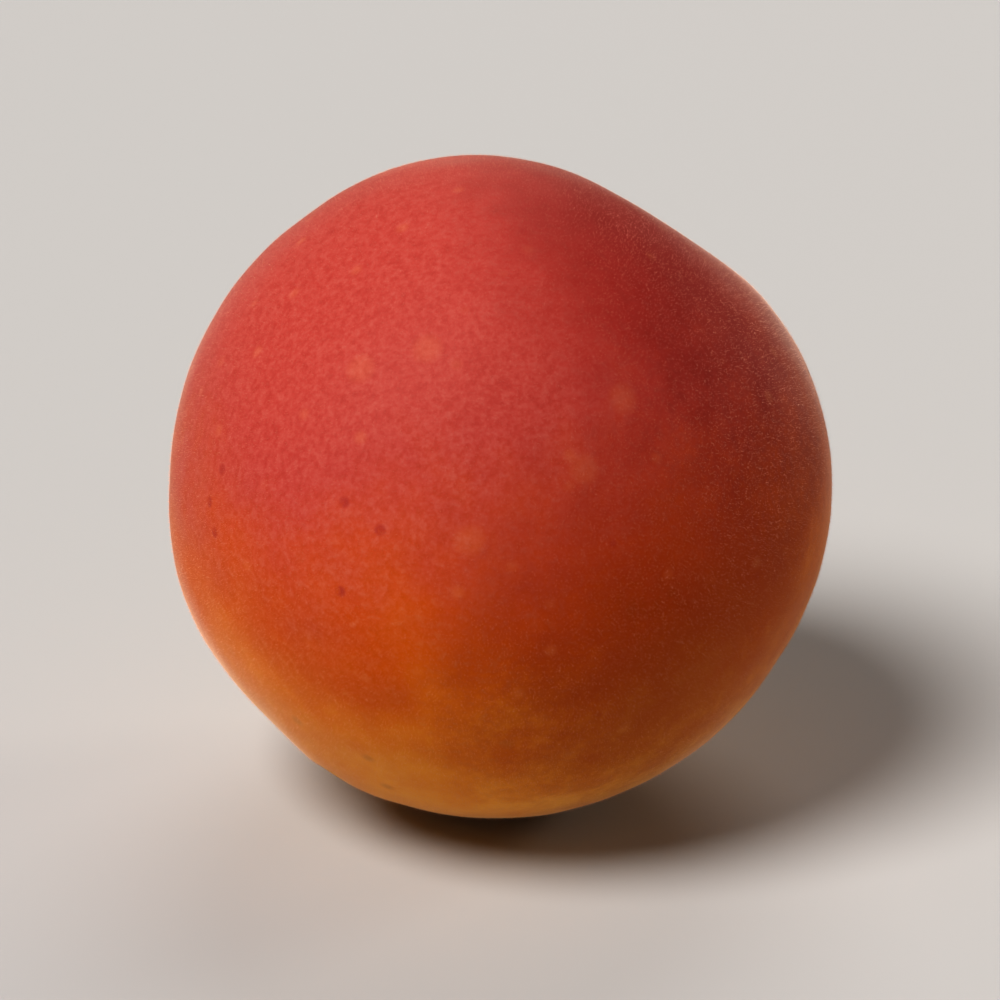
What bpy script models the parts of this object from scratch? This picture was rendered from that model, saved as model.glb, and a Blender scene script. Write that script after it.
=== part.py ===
# A ripe apricot as picked: one closed solid that rests on a small flat spot.
# Metres, +Z up. The origin is the middle of the spot that the fruit rests on.

import math

import bmesh
import bpy
from mathutils import Matrix, Vector, noise

FRUIT_NAME = "apricot"

# Half sizes of the body before its dips are pressed in. In the fruit's own frame the stem end is
# +Z, the suture faces +X and the two cheeks face +Y and -Y.
CHEEK_HALF = 0.0300
SUTURE_HALF = 0.0293
STEM_HALF = 0.0297
TIP_HALF = 0.0298
FULLNESS = 2.14  # 2 is an ellipsoid, and more fills out its shoulders

# Cavity in the stem end, and the scar that the stalk leaves at its bottom
CAVITY_DEPTH = 0.0080
CAVITY_RADIUS = 0.0068
CAVITY_STRETCH = 1.25  # how much longer the cavity is along the suture than across it
SCAR_RADIUS = 0.0017
SCAR_RIM = 0.00035
SCAR_RIM_WIDTH = 0.0006

# Suture: a furrow from the cavity over the shoulder to the tip
FURROW_STEM_DEPTH = 0.0042
FURROW_TIP_DEPTH = 0.0010
FURROW_FADE = math.radians(58)  # angle from the stem over which it grows shallow
FURROW_WIDTH = 0.0026
FURROW_ROUND = 0.0006  # radius that keeps the bottom of the furrow from being a knife cut
VALLEY_WIDTH = 0.0080
VALLEY_SHARE = 0.5  # share of the depth that the wide valley takes
LIP_STEP = 0.00025  # how far one cheek stands over the other at the furrow
LIP_WIDTH = 0.0090
FURROW_START = 0.0110  # distance from the axis over which the furrow begins
SWAY = 0.0007
SWAY_TURNS = 2.3

# Tip: a slight point with the scar of the flower in its middle
TIP_RISE = 0.0007
TIP_RADIUS = 0.0064
TIP_DIMPLE = 0.0005
TIP_DIMPLE_RADIUS = 0.0011

# Gentle lumps that keep the cheeks from being even
LUMP_HEIGHT = 0.0007
LUMP_SCALE = 1.5
LUMP_OFFSET = Vector((36.4, -8.2, 29.2))

# How the fruit lies: its stem end leans over to one side and back, with the suture behind
STEM_LEAN = math.radians(42)
STEM_HEADING = math.radians(42)
SUTURE_ROLL = math.radians(73)

SPOT_DEPTH = 0.00055  # how much the weight flattens the skin at the resting spot
SPOT_SNAP = 0.00005  # points this near the cut lie on it, so that it leaves no slivers

MERIDIANS = 96
PARALLELS = 52
MERIDIAN_CROWDING = 0.52  # draws meridians together at the suture
POLE_CROWDING = 0.16  # draws parallels together at the stem and the tip

SKIN_COLOUR = (0.62, 0.10, 0.035, 1.0)  # coral red of the side that ripened in the sun
SKIN_ROUGHNESS = 0.6


def clear_scene():
    for old in list(bpy.data.objects):
        bpy.data.objects.remove(old)


def new_collection(name):
    made = bpy.data.collections.new(name)
    bpy.context.scene.collection.children.link(made)
    return made


def smooth_step(low, high, value):
    share = min(1.0, max(0.0, (value - low) / (high - low)))
    return share * share * (3 - 2 * share)


def bell(distance, width):
    return math.exp(-((distance / width) ** 2))


def body_point(way):
    """The plain body in this direction: a full ellipsoid, a little longer towards the tip."""
    length_half = STEM_HALF if way.z > 0 else TIP_HALF
    spread = (
        abs(way.x / SUTURE_HALF) ** FULLNESS
        + abs(way.y / CHEEK_HALF) ** FULLNESS
        + abs(way.z / length_half) ** FULLNESS
    )
    return way * spread ** (-1 / FULLNESS)


def suture_drop(point):
    """How far the furrow, with its uneven lips, lies below the plain body."""
    from_stem = math.atan2(math.hypot(point.x, point.y), point.z)
    side = smooth_step(0, FURROW_START, point.x)
    across = point.y - SWAY * math.sin(SWAY_TURNS * from_stem)
    depth = FURROW_TIP_DEPTH + (FURROW_STEM_DEPTH - FURROW_TIP_DEPTH) * bell(from_stem, FURROW_FADE)
    groove = math.exp((FURROW_ROUND - math.hypot(across, FURROW_ROUND)) / FURROW_WIDTH)
    hollow = depth * ((1 - VALLEY_SHARE) * groove + VALLEY_SHARE * bell(across, VALLEY_WIDTH))
    lip = LIP_STEP * math.tanh(across / FURROW_WIDTH) * bell(across, LIP_WIDTH)
    return side * (hollow - lip * math.sin(from_stem))


def stem_end_drop(point):
    """How far the stem cavity, with the raised rim of its scar, lies below the plain body."""
    if point.z < 0:
        return 0.0
    stretch = 1 + (CAVITY_STRETCH - 1) * smooth_step(-CAVITY_RADIUS, CAVITY_RADIUS, point.x)
    cavity = CAVITY_DEPTH * bell(math.hypot(point.x / stretch, point.y), CAVITY_RADIUS)
    rim = SCAR_RIM * bell(math.hypot(point.x, point.y) - SCAR_RADIUS, SCAR_RIM_WIDTH)
    return cavity - rim


def tip_rise(point):
    """How far the blossom end stands out of the plain body."""
    if point.z > 0:
        return 0.0
    from_axis = math.hypot(point.x, point.y)
    return TIP_RISE * bell(from_axis, TIP_RADIUS) - TIP_DIMPLE * bell(from_axis, TIP_DIMPLE_RADIUS)


def skin_point(way):
    """The skin's point in this direction from the middle, in the fruit's own frame."""
    point = body_point(way)
    lump = LUMP_HEIGHT * noise.noise(way * LUMP_SCALE + LUMP_OFFSET)
    skin = point + way * (lump - suture_drop(point))
    skin.z -= stem_end_drop(point)
    skin.z -= tip_rise(point)
    return skin


def crowded(way):
    """Moves a direction of an even globe nearer to the suture and to the poles."""
    around = math.atan2(way.y, way.x)
    around -= MERIDIAN_CROWDING * math.sin(around)
    from_stem = math.acos(max(-1.0, min(1.0, way.z)))
    from_stem -= POLE_CROWDING * math.sin(2 * from_stem)
    ring = math.sin(from_stem)
    return Vector((ring * math.cos(around), ring * math.sin(around), math.cos(from_stem)))


def lying():
    """The turn from the fruit's own frame to how it lies."""
    return (
        Matrix.Rotation(STEM_HEADING, 4, "Z")
        @ Matrix.Rotation(STEM_LEAN, 4, "Y")
        @ Matrix.Rotation(SUTURE_ROLL, 4, "Z")
    )


def press_spot(shape):
    """Cuts the lowest part off level, and puts the middle of the cut face on the origin."""
    level = min(corner.co.z for corner in shape.verts) + SPOT_DEPTH
    for corner in shape.verts:
        if abs(corner.co.z - level) < SPOT_SNAP:
            corner.co.z = level
    cut = bmesh.ops.bisect_plane(
        shape,
        geom=shape.verts[:] + shape.edges[:] + shape.faces[:],
        dist=SPOT_SNAP / 10,
        plane_co=(0, 0, level),
        plane_no=(0, 0, -1),
        clear_outer=True,
    )["geom_cut"]
    rim = [part for part in cut if isinstance(part, bmesh.types.BMEdge) and part.is_boundary]
    spot = bmesh.ops.edgeloop_fill(shape, edges=rim)["faces"][0]
    middle = spot.calc_center_median_weighted()
    bmesh.ops.translate(shape, vec=-middle, verts=shape.verts)
    for corner in spot.verts:
        corner.co.z = 0.0


def fruit_mesh():
    shape = bmesh.new()
    bmesh.ops.create_uvsphere(shape, u_segments=MERIDIANS, v_segments=PARALLELS, radius=1.0)
    for corner in shape.verts:
        corner.co = skin_point(crowded(corner.co.normalized()))
    bmesh.ops.transform(shape, matrix=lying(), verts=shape.verts)
    press_spot(shape)
    bmesh.ops.recalc_face_normals(shape, faces=shape.faces)
    mesh = bpy.data.meshes.new(FRUIT_NAME)
    shape.to_mesh(mesh)
    shape.free()
    mesh.shade_smooth()
    return mesh


def skin_material():
    material = bpy.data.materials.new("apricot_skin")
    material.use_nodes = True
    surface = material.node_tree.nodes["Principled BSDF"]
    surface.inputs["Base Color"].default_value = SKIN_COLOUR
    surface.inputs["Roughness"].default_value = SKIN_ROUGHNESS
    surface.inputs["Metallic"].default_value = 0.0
    return material


def build_apricot():
    clear_scene()
    fruit = bpy.data.objects.new(FRUIT_NAME, fruit_mesh())
    fruit.data.materials.append(skin_material())
    new_collection("apricot_parts").objects.link(fruit)


build_apricot()
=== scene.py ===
# A ripe apricot as picked, lying on a pale table in soft light.
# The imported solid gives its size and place. This script makes its skin and its fuzz.
import math
import random

import bmesh
import bpy
from mathutils import Matrix, Vector, noise


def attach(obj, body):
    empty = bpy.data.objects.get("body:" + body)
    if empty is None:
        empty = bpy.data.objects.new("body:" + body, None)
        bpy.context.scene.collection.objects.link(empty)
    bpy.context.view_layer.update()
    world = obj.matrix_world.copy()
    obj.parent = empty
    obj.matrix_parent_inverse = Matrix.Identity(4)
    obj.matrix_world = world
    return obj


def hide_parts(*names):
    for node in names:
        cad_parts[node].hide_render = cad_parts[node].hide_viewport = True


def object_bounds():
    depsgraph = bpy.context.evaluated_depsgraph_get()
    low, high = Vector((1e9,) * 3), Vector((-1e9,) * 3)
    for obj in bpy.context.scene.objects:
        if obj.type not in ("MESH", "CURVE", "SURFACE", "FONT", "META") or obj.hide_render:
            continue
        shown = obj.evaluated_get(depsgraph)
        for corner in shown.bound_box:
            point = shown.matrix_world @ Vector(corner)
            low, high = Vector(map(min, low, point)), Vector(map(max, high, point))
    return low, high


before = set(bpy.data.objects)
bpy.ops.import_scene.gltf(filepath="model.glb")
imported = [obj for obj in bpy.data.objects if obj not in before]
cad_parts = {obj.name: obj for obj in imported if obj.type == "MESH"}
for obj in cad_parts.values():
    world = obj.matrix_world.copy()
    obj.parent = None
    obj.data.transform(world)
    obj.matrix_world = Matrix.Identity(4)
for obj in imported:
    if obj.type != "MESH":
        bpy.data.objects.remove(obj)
cadLow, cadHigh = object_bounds()
print("frame loaded")

spotCore = 0.2  # share of a spot's radius inside which it is full
cellStep = 0.02  # how sharply the cells that have a spot are told from the others


# One shader value or colour. Sums on it add Math nodes, and node() adds any other node.
class Wire:
    def __init__(self, tree, socket=None):
        self.tree = tree
        self.socket = socket

    def node(self, kind, settings, sockets, output=0):
        made = self.tree.nodes.new(kind)
        for name, value in settings.items():
            if name == "stops":
                setStops(made.color_ramp, value)
            else:
                setattr(made, name, value)
        for name, value in sockets.items():
            if isinstance(value, Wire):
                self.tree.links.new(value.socket, made.inputs[name])
            else:
                made.inputs[name].default_value = value
        return Wire(self.tree, made.outputs[output])

    def also(self, output):  # another output of the node that this one comes from
        return Wire(self.tree, self.socket.node.outputs[output])

    def maths(self, operation, *values):
        return self.node("ShaderNodeMath", {"operation": operation}, dict(enumerate(values)))

    def __add__(self, other):
        return self.maths("ADD", self, other)

    __radd__ = __add__

    def __sub__(self, other):
        return self.maths("SUBTRACT", self, other)

    def __rsub__(self, other):
        return self.maths("SUBTRACT", other, self)

    def __mul__(self, other):
        return self.maths("MULTIPLY", self, other)

    __rmul__ = __mul__

    def between(self, low, high):  # 0 at low, 1 at high, and smooth in between
        settings = {"interpolation_type": "SMOOTHSTEP"}
        return self.node("ShaderNodeMapRange", settings, {0: self, 1: low, 2: high})

    def mixed(self, low, high):  # the colour low where this value is 0, high where it is 1
        return self.node("ShaderNodeMix", {"data_type": "RGBA"}, {0: self, 6: low, 7: high}, 2)

    def cloud(self, size, detail, roughness):  # soft noise on this place, size in its units
        sockets = {"Vector": self, "Scale": 1 / size, "Detail": detail, "Roughness": roughness}
        return self.node("ShaderNodeTexNoise", {}, sockets, "Fac")

    def swing(self, share):  # a cloud's value as a change both ways, share wide in all
        return share * (self - 0.5)

    def spots(self, spacing, radius, share):  # soft round spots in a share of the cells
        cells = self.node("ShaderNodeTexVoronoi", {}, {"Vector": self, "Scale": 1 / spacing}, "Distance")
        pick = self.node("ShaderNodeSeparateColor", {}, {0: cells.also("Color")}, 0)
        edge = radius / spacing
        return cells.between(edge, edge * spotCore) * pick.between(share, share - cellStep)


def setStops(ramp, stops):
    while len(ramp.elements) < len(stops):
        ramp.elements.new(1.0)
    for element, (place, colour) in zip(ramp.elements, stops):
        element.position = place
        element.color = colour


# In the fruit's own frame the stem end is +Z, the suture faces +X and the cheeks +Y and -Y
body = {
    "cheekHalf": 0.0300,
    "sutureHalf": 0.0293,
    "stemHalf": 0.0297,
    "tipHalf": 0.0298,
    "fullness": 2.14,  # 2 is an ellipsoid, and more fills out its shoulders
    "lumpHeight": 0.0007,
    "lumpScale": 1.5,
    "lumpOffset": Vector((36.4, -8.2, 29.2)),
    "rippleHeight": 0.00007,
    "rippleScale": 7.0,
    "cuts": 127,  # across each side of the cube that the globe is made from
    "sutureCrowding": 0.50,  # draws the mesh together at the suture
    "poleCrowding": 0.18,  # draws the mesh together at the stem and the tip
}

hollow = {
    "depth": 0.0080,
    "radius": 0.0068,
    "stretch": 1.25,  # how much longer it is along the suture than across it
    "scarRadius": 0.0017,
    "scarRim": 0.00035,
    "scarRimWidth": 0.0006,
    "scarGrain": 0.00018,
    "scarGrainSize": 0.0006,
}

suture = {
    "stemDepth": 0.0042,
    "tipDepth": 0.0010,
    "fade": math.radians(58),  # angle from the stem over which it grows shallow
    "width": 0.0026,
    "round": 0.00035,  # radius that keeps its bottom from being a knife cut
    "valleyWidth": 0.0080,
    "valleyShare": 0.5,
    "lipStep": 0.00025,  # how far one cheek stands over the other
    "lipWidth": 0.0090,
    "start": 0.0110,
    "sway": 0.0007,
    "swayTurns": 2.3,
    "lineWidth": 0.00055,
}

tip = {
    "rise": 0.0007,
    "radius": 0.0064,
    "dimple": 0.0005,
    "dimpleRadius": 0.0011,
}

# How the fruit lies: its stem end leans over to one side and back, with the suture behind
lie = {
    "lean": math.radians(42),
    "heading": math.radians(42),
    "roll": math.radians(73),
    "spotDepth": 0.00055,  # how much the weight flattens the skin at the resting spot
    "spotSoftness": 0.00006,  # rounds the spot's edge
}


def smoothStep(low, high, value):
    share = min(1.0, max(0.0, (value - low) / (high - low)))
    return share * share * (3 - 2 * share)


def bell(distance, width):
    return math.exp(-((distance / width) ** 2))


def bodyPoint(way):
    lengthHalf = body["stemHalf"] if way.z > 0 else body["tipHalf"]
    spread = (
        abs(way.x / body["sutureHalf"]) ** body["fullness"]
        + abs(way.y / body["cheekHalf"]) ** body["fullness"]
        + abs(way.z / lengthHalf) ** body["fullness"]
    )
    return way * spread ** (-1 / body["fullness"])


def acrossSuture(point):
    fromStem = math.atan2(math.hypot(point.x, point.y), point.z)
    return point.y - suture["sway"] * math.sin(suture["swayTurns"] * fromStem), fromStem


def sutureDrop(point):
    across, fromStem = acrossSuture(point)
    side = smoothStep(0, suture["start"], point.x)
    deeper = suture["stemDepth"] - suture["tipDepth"]
    depth = suture["tipDepth"] + deeper * bell(fromStem, suture["fade"])
    groove = math.exp((suture["round"] - math.hypot(across, suture["round"])) / suture["width"])
    valley = bell(across, suture["valleyWidth"])
    dip = depth * ((1 - suture["valleyShare"]) * groove + suture["valleyShare"] * valley)
    lip = suture["lipStep"] * math.tanh(across / suture["width"]) * bell(across, suture["lipWidth"])
    return side * (dip - lip * math.sin(fromStem))


def sutureLine(point):  # 1 along the bottom of the furrow
    across, fromStem = acrossSuture(point)
    return smoothStep(0, suture["start"], point.x) * bell(across, suture["lineWidth"])


def hollowShare(point):  # 1 in the middle of the stem hollow
    if point.z < 0:
        return 0.0
    stretch = 1 + (hollow["stretch"] - 1) * smoothStep(-hollow["radius"], hollow["radius"], point.x)
    return bell(math.hypot(point.x / stretch, point.y), hollow["radius"])


def stemEndDrop(point):
    if point.z < 0:
        return 0.0
    fromAxis = math.hypot(point.x, point.y)
    rim = hollow["scarRim"] * bell(fromAxis - hollow["scarRadius"], hollow["scarRimWidth"])
    rough = noise.noise(point / hollow["scarGrainSize"])
    grain = hollow["scarGrain"] * bell(fromAxis, hollow["scarRadius"]) * rough
    return hollow["depth"] * hollowShare(point) - rim - grain


def tipRise(point):
    if point.z > 0:
        return 0.0
    fromAxis = math.hypot(point.x, point.y)
    dimple = tip["dimple"] * bell(fromAxis, tip["dimpleRadius"])
    return tip["rise"] * bell(fromAxis, tip["radius"]) - dimple


def skinPoint(way, point):
    lump = body["lumpHeight"] * noise.noise(way * body["lumpScale"] + body["lumpOffset"])
    ripple = body["rippleHeight"] * noise.noise(way * body["rippleScale"])
    skinned = point + way * (lump + ripple - sutureDrop(point))
    skinned.z -= stemEndDrop(point)
    skinned.z -= tipRise(point)
    return skinned


def evenWay(corner):  # spreads the cube's corners evenly over a globe
    return Vector(math.tan(side * math.pi / 4) for side in corner).normalized()


def crowded(way):  # moves a direction of an even globe nearer to the suture and to the poles
    around = math.atan2(way.y, way.x)
    around -= body["sutureCrowding"] * math.sin(around)
    fromStem = math.acos(max(-1.0, min(1.0, way.z)))
    fromStem -= body["poleCrowding"] * math.sin(2 * fromStem)
    ring = math.sin(fromStem)
    return Vector((ring * math.cos(around), ring * math.sin(around), math.cos(fromStem)))


def lyingTurn():
    turn = Matrix.Rotation(lie["heading"], 4, "Z")
    turn @= Matrix.Rotation(lie["lean"], 4, "Y")
    turn @= Matrix.Rotation(lie["roll"], 4, "Z")
    return turn


def boxMiddle(points):
    low = Vector(min(point[axis] for point in points) for axis in range(3))
    high = Vector(max(point[axis] for point in points) for axis in range(3))
    return (low + high) / 2, low.z


def pressed(height):  # height over the table once the weight has flattened the spot
    return (height + math.hypot(height, lie["spotSoftness"])) / 2


# The fruit as one closed skin. Returns its bmesh and the place of its own frame's origin.
def shapeSkin():
    shape = bmesh.new()
    bmesh.ops.create_cube(shape, size=2.0)
    bmesh.ops.subdivide_edges(shape, edges=shape.edges[:], cuts=body["cuts"], use_grid_fill=True)
    lineLayer = shape.verts.layers.float.new("sutureLine")
    hollowLayer = shape.verts.layers.float.new("stemHollow")
    for corner in shape.verts:
        way = crowded(evenWay(corner.co))
        point = bodyPoint(way)
        corner[lineLayer] = sutureLine(point)
        corner[hollowLayer] = hollowShare(point)
        corner.co = skinPoint(way, point)
    bmesh.ops.transform(shape, matrix=lyingTurn(), verts=shape.verts)
    middle, lowest = boxMiddle([corner.co for corner in shape.verts])
    cadMiddle = (cadLow + cadHigh) / 2
    origin = Vector((cadMiddle.x - middle.x, cadMiddle.y - middle.y, -lowest - lie["spotDepth"]))
    bmesh.ops.translate(shape, vec=origin, verts=shape.verts)
    for corner in shape.verts:
        corner.co.z = pressed(corner.co.z)
    return shape, origin


skinLook = {
    "ripening": [  # from the shaded ground to the sunny blush
        (0.00, (0.84, 0.41, 0.060, 1.0)),
        (0.12, (0.81, 0.33, 0.036, 1.0)),
        (0.38, (0.69, 0.185, 0.008, 1.0)),
        (0.58, (0.59, 0.109, 0.002, 1.0)),
        (0.74, (0.54, 0.088, 0.012, 1.0)),
        (1.00, (0.45, 0.063, 0.049, 1.0)),
    ],
    "freckles": [  # directions from the fruit's middle
        Vector((-0.80, -0.54, 0.28)),
        Vector((-0.84, -0.52, 0.17)),
        Vector((-0.82, -0.56, 0.09)),
        Vector((-0.43, -0.85, 0.31)),
        Vector((-0.33, -0.91, 0.25)),
        Vector((-0.44, -0.90, 0.06)),
    ],
    "flecks": [
        Vector((-0.39, -0.66, 0.64)),
        Vector((-0.20, -0.68, 0.71)),
        Vector((0.36, -0.73, 0.58)),
        Vector((0.25, -0.87, 0.42)),
        Vector((-0.08, -0.97, 0.24)),
    ],
    "clouds": {  # size in millimetres, detail and roughness
        "blotch": (14, 3, 0.55),
        "patch": (4.5, 3, 0.6),
        "mottle": (0.7, 4, 0.65),
        "grain": (0.30, 2, 0.5),
    },
    "scattered": {  # spacing and radius in millimetres, share of the places, strength
        "freckle": (7.5, 0.55, 0.35, 0.30),
        "fleck": (4.5, 0.90, 0.60, 0.09),
        "russet": (6.0, 0.95, 0.45, 0.38),
    },
    "masks": {  # where each one begins, where it is full, and how strong it is there
        "back": (0.40, 0.95, 0.65),
        "amber": (0.35, 0.80, 0.50),
        "straw": (0.50, 0.75, 0.28),
        "bloomMottle": (0.40, 0.75, 0.072),
        "bloomGrain": (0.40, 0.80, 0.052),
        "dark": (0.55, 0.26, 0.17),
        "deepBlushAndShade": (0.55, 1.02, 0.85),
        "burntShade": (0.60, 1.00, 0.65),
        "worn": (0.25, 0.60, 0.62),
        "hollow": (0.35, 1.00, 0.70),
    },
    "blush": (-0.90, 0.75),  # where the blush begins and where it is full
    "blushSwing": {"blotch": 0.60, "patch": 0.35, "mottle": 0.30},  # how far each cloud moves its edge
    "deepAndShadeSwing": {"patch": 0.20, "mottle": 0.20},
    "freckleRadius": math.radians(1.22),  # seen from the fruit's middle
    "fleckRadius": math.radians(3.25),
    "fleckStrength": 0.075,
    "sutureStrength": 0.45,
    "stemScar": (2.15, 1.35),  # millimetres from the fruit's axis
    "tipScar": (0.95, 0.45),
    "scarRagged": 0.7,
    "scarMottle": (0.35, 0.65),
    "crimson": (0.21, 0.007, 0.003, 1.0),
    "burntOrangeShade": (0.30, 0.030, 0.002, 1.0),
    "freckle": (0.30, 0.018, 0.018, 1.0),
    "fleck": (0.88, 0.40, 0.16, 1.0),
    "bloom": (0.85, 0.45, 0.36, 1.0),
    "amber": (0.72, 0.23, 0.018, 1.0),
    "straw": (0.88, 0.53, 0.140, 1.0),
    "russet": (0.40, 0.15, 0.035, 1.0),
    "hollowTint": (0.74, 0.41, 0.055, 1.0),
    "scar": (0.25, 0.130, 0.060, 1.0),
    "scarDark": (0.12, 0.055, 0.028, 1.0),
    "sutureTintAndShade": (0.55, 0.13, 0.02, 1.0),
    "sunWay": Vector((-0.18, -0.20, 0.96)),  # the side that ripened in the sun
    "backWay": Vector((0.10, 0.95, 0.10)),  # the side that stayed golden
    "deepBlushAndShadeWay": Vector((0.66, -0.05, 0.75)),  # where the blush is deepest, partly a real deeper blush and partly painted shade along the shaded right side
    "burntShadeWay": Vector((0.58, -0.79, -0.18)),  # where painted shade darkens the lower shaded side to a burnt orange
    "roughness": 0.62,
    "roughnessSwing": 0.12,
    "specular": 0.14,
    "sheen": 0.52,
    "sheenRoughness": 0.29,
    "sheenTint": (1.0, 0.80, 0.66, 1.0),
    "bumpDepth": 0.00003,
    "bumpStrength": 0.6,
    "bumpGrain": 0.6,
    "bumpMottle": 0.8,
}


def facing(place, way):  # 1 where the skin lies in this direction from the fruit's middle
    out = place.node("ShaderNodeVectorMath", {"operation": "NORMALIZE"}, {0: place})
    ways = {0: out, 1: way.normalized()}
    return place.node("ShaderNodeVectorMath", {"operation": "DOT_PRODUCT"}, ways, "Value")


def spotsAt(place, ways, radius):  # soft round spots in these directions
    return sum(facing(place, way).between(math.cos(radius), 1.0) for way in ways)


def masked(value, name):
    low, high, strength = skinLook["masks"][name]
    return value.between(low, high) * strength


def scattered(place, name):
    spacing, radius, share, strength = skinLook["scattered"][name]
    return place.spots(spacing, radius, share) * strength


def swung(value, clouds, swings):  # the value, made uneven by these clouds
    for name, swing in swings.items():
        value = value + clouds[name].swing(swing)
    return value


def ripeColour(place, clouds, blush):  # the blush, its mottling, a burnt orange patch of painted shade, and its deepest patch, partly a deeper blush and partly painted shade
    look = skinLook
    mottle = clouds["mottle"]
    colour = place.node("ShaderNodeValToRGB", {"stops": look["ripening"]}, {0: blush}, "Color")
    colour = (masked(clouds["patch"], "amber") * (1 - blush)).mixed(colour, look["amber"])
    colour = (masked(mottle, "straw") * (1 - blush)).mixed(colour, look["straw"])
    pale = masked(mottle, "bloomMottle") + masked(clouds["grain"], "bloomGrain")
    colour = (pale * blush).mixed(colour, look["bloom"])
    colour = (masked(mottle, "dark") * blush).mixed(colour, look["crimson"])
    # painted shade: a burnt orange patch that darkens the lower shaded side
    burntShade = swung(facing(place, look["burntShadeWay"]), clouds, look["deepAndShadeSwing"])
    colour = masked(burntShade, "burntShade").mixed(colour, look["burntOrangeShade"])
    # partly a deeper blush and partly painted shade: crimson laid along the shaded right side
    deepBlushAndShade = swung(facing(place, look["deepBlushAndShadeWay"]), clouds, look["deepAndShadeSwing"])
    return (masked(deepBlushAndShade, "deepBlushAndShade") * blush).mixed(colour, look["crimson"])


def spotted(colour, place, clouds, blush):  # small spots at random, then the ones with a known place
    look = skinLook
    colour = (scattered(place, "freckle") * blush).mixed(colour, look["freckle"])
    colour = scattered(place, "fleck").mixed(colour, look["fleck"])
    colour = (scattered(place, "russet") * (1 - blush)).mixed(colour, look["russet"])
    flecks = spotsAt(place, look["flecks"], look["fleckRadius"]) * look["fleckStrength"]
    colour = flecks.mixed(colour, look["fleck"])
    freckles = spotsAt(place, look["freckles"], look["freckleRadius"]) * masked(clouds["mottle"], "worn")
    return freckles.mixed(colour, look["freckle"])


def creased(colour):  # the stem hollow and the bottom of the furrow, from the skin's attributes
    stemHollow = colour.node("ShaderNodeAttribute", {"attribute_name": "stemHollow"}, {}, "Fac")
    sutureShade = colour.node("ShaderNodeAttribute", {"attribute_name": "sutureLine"}, {}, "Fac")
    colour = masked(stemHollow, "hollow").mixed(colour, skinLook["hollowTint"])
    # the darker line at the bottom of the furrow is partly the seam's own colour and partly painted
    # shade in the crease
    return (sutureShade * skinLook["sutureStrength"]).mixed(colour, skinLook["sutureTintAndShade"])


def scarred(colour, own, mottle):  # the woody scars at the stem, where own Z is above 0, and at the tip
    look = skinLook
    parts = colour.node("ShaderNodeSeparateXYZ", {}, {0: own}, "X")
    across = parts.maths("POWER", parts * parts + parts.also("Y") * parts.also("Y"), 0.5)
    ragged = across + mottle.swing(look["scarRagged"])
    stemScar = ragged.between(*look["stemScar"]) * parts.also("Z").between(0.0, 1.0)
    tipScar = ragged.between(*look["tipScar"]) * parts.also("Z").between(0.0, -1.0)
    scar = mottle.between(*look["scarMottle"]).mixed(look["scarDark"], look["scar"])
    return (stemScar + tipScar).mixed(colour, scar)


# origin and turn say where the fruit's own frame is
def skinMaterial(origin, turn):
    material = bpy.data.materials.new("apricotSkin")
    material.use_nodes = True
    tree = material.node_tree
    surface = tree.nodes["Principled BSDF"]
    start = Wire(tree)
    table = start.node("ShaderNodeTexCoord", {}, {}, "Object")
    millimetre = Vector((0.001, 0.001, 0.001))
    fromMiddle = {"Vector": table, "Location": origin, "Scale": millimetre}
    place = start.node("ShaderNodeMapping", {"vector_type": "TEXTURE"}, fromMiddle)
    inFruit = {**fromMiddle, "Rotation": turn.to_euler()}
    own = start.node("ShaderNodeMapping", {"vector_type": "TEXTURE"}, inFruit)

    clouds = {name: place.cloud(*values) for name, values in skinLook["clouds"].items()}
    mottle = clouds["mottle"]
    sunny = facing(place, skinLook["sunWay"]) - masked(facing(place, skinLook["backWay"]), "back")
    blush = swung(sunny, clouds, skinLook["blushSwing"]).between(*skinLook["blush"])
    colour = ripeColour(place, clouds, blush)
    colour = spotted(colour, place, clouds, blush)
    colour = scarred(creased(colour), own, mottle)
    tree.links.new(colour.socket, surface.inputs["Base Color"])
    roughness = skinLook["roughness"] + mottle.swing(skinLook["roughnessSwing"])
    tree.links.new(roughness.socket, surface.inputs["Roughness"])
    height = skinLook["bumpGrain"] * clouds["grain"] + skinLook["bumpMottle"] * mottle
    bump = {"Height": height, "Strength": skinLook["bumpStrength"], "Distance": skinLook["bumpDepth"]}
    tree.links.new(start.node("ShaderNodeBump", {}, bump).socket, surface.inputs["Normal"])

    surface.inputs["Specular IOR Level"].default_value = skinLook["specular"]
    surface.inputs["Sheen Weight"].default_value = skinLook["sheen"]
    surface.inputs["Sheen Roughness"].default_value = skinLook["sheenRoughness"]
    surface.inputs["Sheen Tint"].default_value = skinLook["sheenTint"]
    return material


def newPiece(name, shape, material):
    mesh = bpy.data.meshes.new(name)
    shape.to_mesh(mesh)
    mesh.materials.append(material)
    piece = bpy.data.objects.new(name, mesh)
    bpy.context.scene.collection.objects.link(piece)
    return piece


skinShape, fruitOrigin = shapeSkin()
bmesh.ops.recalc_face_normals(skinShape, faces=skinShape.faces)
skinShape.normal_update()
skinPiece = newPiece("apricotSkin", skinShape, skinMaterial(fruitOrigin, lyingTurn()))
skinPiece.data.shade_smooth()
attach(skinPiece, "root")
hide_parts("apricot")
print("skin made:", len(skinShape.faces), "faces")


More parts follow.
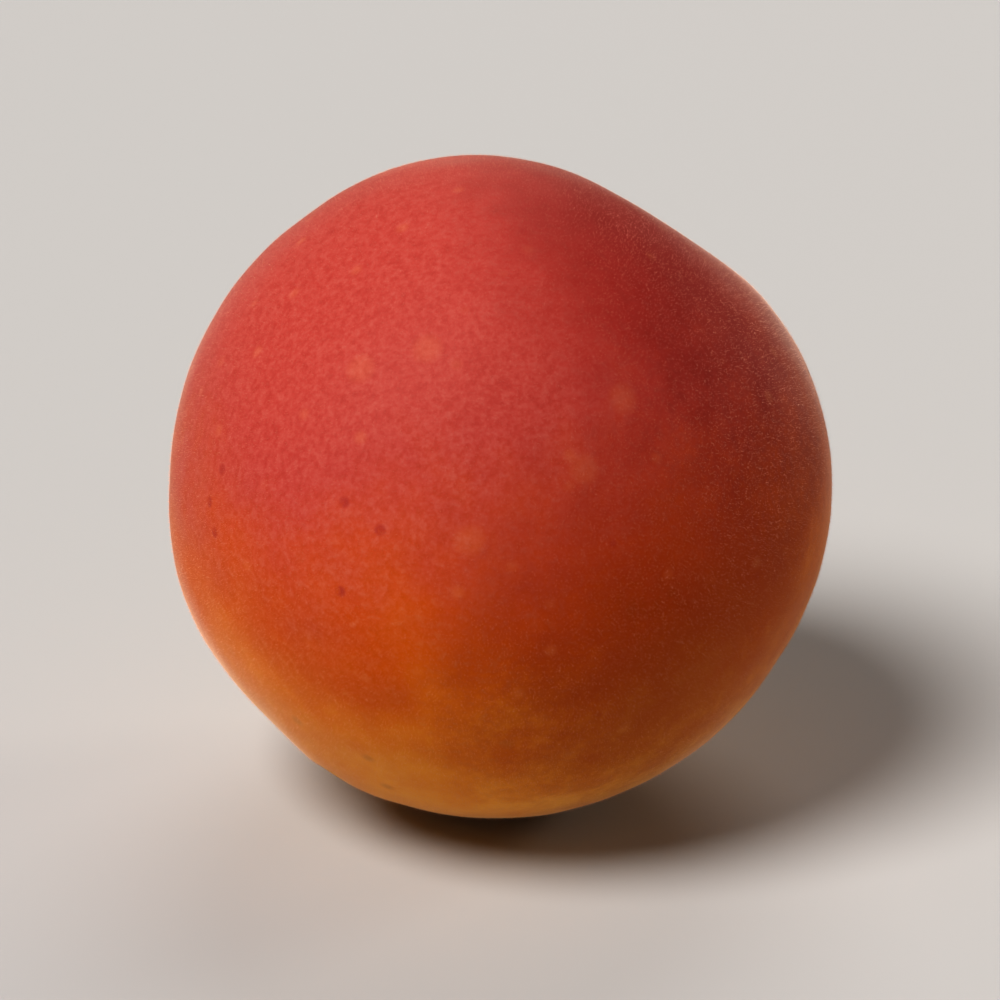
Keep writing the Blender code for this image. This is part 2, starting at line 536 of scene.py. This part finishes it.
fuzz = {
    "pieces": 4,
    "hairs": 49000,  # on each piece
    "length": 0.00022,
    "lengthSpread": 0.45,  # share of the length that it may differ by, both ways
    "thickness": 0.0000042,  # radius at the root
    "sink": 0.00003,  # how deep the roots stand in the skin
    "nap": 0.15,  # how far the hairs lean towards the tip
    "scatter": 0.19,  # spread of their random lean
    "leastRise": 0.3,  # a hair that rises less than this from the skin is straightened
    "clearance": 0.0006,  # nothing grows lower than this above the table
    "bareScar": 0.0019,  # nor nearer than this to the fruit's axis, at the stem and at the tip
    "seed": 4127,
    "colour": (0.88, 0.52, 0.36, 1.0),
    "roughness": 0.75,
    "specular": 0.2,
}


def fuzzMaterial():
    material = bpy.data.materials.new("apricotFuzz")
    material.use_nodes = True
    surface = material.node_tree.nodes["Principled BSDF"]
    surface.inputs["Base Color"].default_value = fuzz["colour"]
    surface.inputs["Roughness"].default_value = fuzz["roughness"]
    surface.inputs["Specular IOR Level"].default_value = fuzz["specular"]
    return material


def bareSkin(face, toOwn):
    middle = face.calc_center_median()
    own = toOwn @ middle
    return middle.z < fuzz["clearance"] or math.hypot(own.x, own.y) < fuzz["bareScar"]


def hairRoots(faces, toOwn, draw):  # a place, a lean and a length for each hair on these faces
    grown = [face for face in faces if not bareSkin(face, toOwn)]
    areas = [face.calc_area() for face in grown]
    tipWay = (toOwn.inverted().to_3x3() @ Vector((0, 0, -1))).normalized()
    places = []
    for face in draw.choices(grown, weights=areas, k=fuzz["hairs"]):
        first, second, third, fourth = (corner.co for corner in face.verts)
        along = draw.random()
        root = first.lerp(second, along).lerp(fourth.lerp(third, along), draw.random())
        loose = Vector(draw.gauss(0, fuzz["scatter"]) for axis in range(3))
        way = (face.normal + fuzz["nap"] * tipWay + loose).normalized()
        if way.dot(face.normal) < fuzz["leastRise"]:
            way = (way + face.normal).normalized()
        length = fuzz["length"] * (1 + fuzz["lengthSpread"] * draw.uniform(-1, 1))
        turn = way.to_track_quat("Z", "Y")
        sunk = root - face.normal * fuzz["sink"]
        places.append(Matrix.LocRotScale(sunk, turn, Vector((1, 1, length))))
    return places


# One closed three-sided hair, doubled until there are enough, and each moved to its root
def shapeFuzz(places):
    shape = bmesh.new()
    bmesh.ops.create_cone(
        shape, cap_ends=True, segments=3, radius1=fuzz["thickness"], radius2=0,
        depth=1.0, matrix=Matrix.Translation((0, 0, 0.5)),
    )
    bmesh.ops.recalc_face_normals(shape, faces=shape.faces)
    corners = len(shape.verts)
    while len(shape.verts) < corners * len(places):
        bmesh.ops.duplicate(shape, geom=shape.verts[:] + shape.edges[:] + shape.faces[:])
    unplaced = iter(places)
    for corner in shape.verts:
        if corner.tag:
            continue
        place = next(unplaced, None)
        if place is None:
            break
        for end in [corner, *(edge.other_vert(corner) for edge in corner.link_edges)]:
            end.co = place @ end.co
            end.tag = True
    spare = [corner for corner in shape.verts if not corner.tag]
    bmesh.ops.delete(shape, geom=spare, context="VERTS")
    return shape


def quarter(face, toOwn):  # which of the pieces grows here, by the direction from the fruit's axis
    own = toOwn @ face.calc_center_median()
    share = (math.atan2(own.y, own.x) + math.pi) / (2 * math.pi)
    return int(share * fuzz["pieces"]) % fuzz["pieces"]


def makeFuzz():
    toOwn = (Matrix.Translation(fruitOrigin) @ lyingTurn()).inverted()
    draw = random.Random(fuzz["seed"])
    material = fuzzMaterial()
    quarters = [[] for number in range(fuzz["pieces"])]
    for face in skinShape.faces:
        quarters[quarter(face, toOwn)].append(face)
    for number, faces in enumerate(quarters):
        shape = shapeFuzz(hairRoots(faces, toOwn, draw))
        piece = newPiece(f"apricotFuzz{number + 1}", shape, material)
        shape.free()
        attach(piece, "root")
        print("fuzz made:", piece.name, len(piece.data.polygons), "faces")


makeFuzz()
skinShape.free()


stage = {
    "floorHalf": 3.0,
    "floorFaces": 60,  # along each side
    "floorFlat": 0.9,  # distance from the fruit where the floor begins to rise into a backdrop
    "floorRise": 0.5,
    "floorColour": (0.48, 0.475, 0.47, 1.0),
    "floorRoughness": 0.7,
    "floorSpecular": 0.2,
    "worldColour": (0.93, 0.95, 1.0, 1.0),
    "worldStrength": 0.03,
    "elevation": math.radians(23),
    "lens": 150,  # millimetres, as the sensor
    "sensor": 36,
    "fruitShare": 0.66,  # of the picture's width
    "aimDrop": 0.0015,  # how far below the fruit's middle the camera looks
    "lampDistance": 1.0,
}

# Soft far lights: azimuth from the camera's side, elevation and width in degrees, strength and colour
lamps = {
    "key": (-50, 54, 28, 2.9, (1.0, 0.97, 0.94)),
    "top": (170, 44, 36, 0.70, (1.0, 0.96, 0.94)),
    "side": (115, 18, 14, 0.50, (1.0, 0.92, 0.80)),
}


def awayFrom(target, azimuth, elevation, distance):
    flat = math.cos(elevation) * distance
    height = math.sin(elevation) * distance
    return target + Vector((math.sin(azimuth) * flat, -math.cos(azimuth) * flat, height))


def turnedTo(item, target):
    item.rotation_mode = "QUATERNION"
    item.rotation_quaternion = (target - item.location).to_track_quat("-Z", "Y")


def makeFloor():
    shape = bmesh.new()
    faces = stage["floorFaces"]
    bmesh.ops.create_grid(shape, x_segments=faces, y_segments=faces, size=stage["floorHalf"])
    for corner in shape.verts:
        rise = smoothStep(stage["floorFlat"], stage["floorHalf"], corner.co.length)
        corner.co.z = stage["floorRise"] * rise
    material = bpy.data.materials.new("paleFloor")
    material.use_nodes = True
    surface = material.node_tree.nodes["Principled BSDF"]
    surface.inputs["Base Color"].default_value = stage["floorColour"]
    surface.inputs["Roughness"].default_value = stage["floorRoughness"]
    surface.inputs["Specular IOR Level"].default_value = stage["floorSpecular"]
    floor = newPiece("floor", shape, material)
    floor.data.shade_smooth()
    shape.free()


def makeLamp(name, azimuth, elevation, width, strength, colour):
    lamp = bpy.data.objects.new(name, bpy.data.lights.new(name, "SUN"))
    bpy.context.scene.collection.objects.link(lamp)
    lamp.data.angle = math.radians(width)
    lamp.data.energy = strength
    lamp.data.color = colour
    ways = math.radians(azimuth), math.radians(elevation)
    lamp.location = awayFrom(fruitMiddle, *ways, stage["lampDistance"])
    turnedTo(lamp, fruitMiddle)


def makeWorld():
    world = bpy.data.worlds.new("paleRoom")
    world.use_nodes = True
    background = world.node_tree.nodes["Background"]
    background.inputs["Color"].default_value = stage["worldColour"]
    background.inputs["Strength"].default_value = stage["worldStrength"]
    bpy.context.scene.world = world


def makeCamera():
    camera = bpy.data.objects.new("camera", bpy.data.cameras.new("camera"))
    bpy.context.scene.collection.objects.link(camera)
    camera.data.lens = stage["lens"]
    camera.data.sensor_width = stage["sensor"]
    width = (cadHigh.x - cadLow.x) / stage["fruitShare"]
    distance = width * stage["lens"] / stage["sensor"]
    aim = fruitMiddle - Vector((0, 0, stage["aimDrop"]))
    camera.location = awayFrom(aim, 0.0, stage["elevation"], distance)
    turnedTo(camera, aim)
    bpy.context.scene.camera = camera


fruitMiddle = (cadLow + cadHigh) / 2
makeFloor()
makeWorld()
for lampName, lampValues in lamps.items():
    makeLamp(lampName, *lampValues)
makeCamera()
bpy.context.scene.view_settings.view_transform = "Standard"
bpy.context.scene.view_settings.look = "High Contrast"
print("stage made")
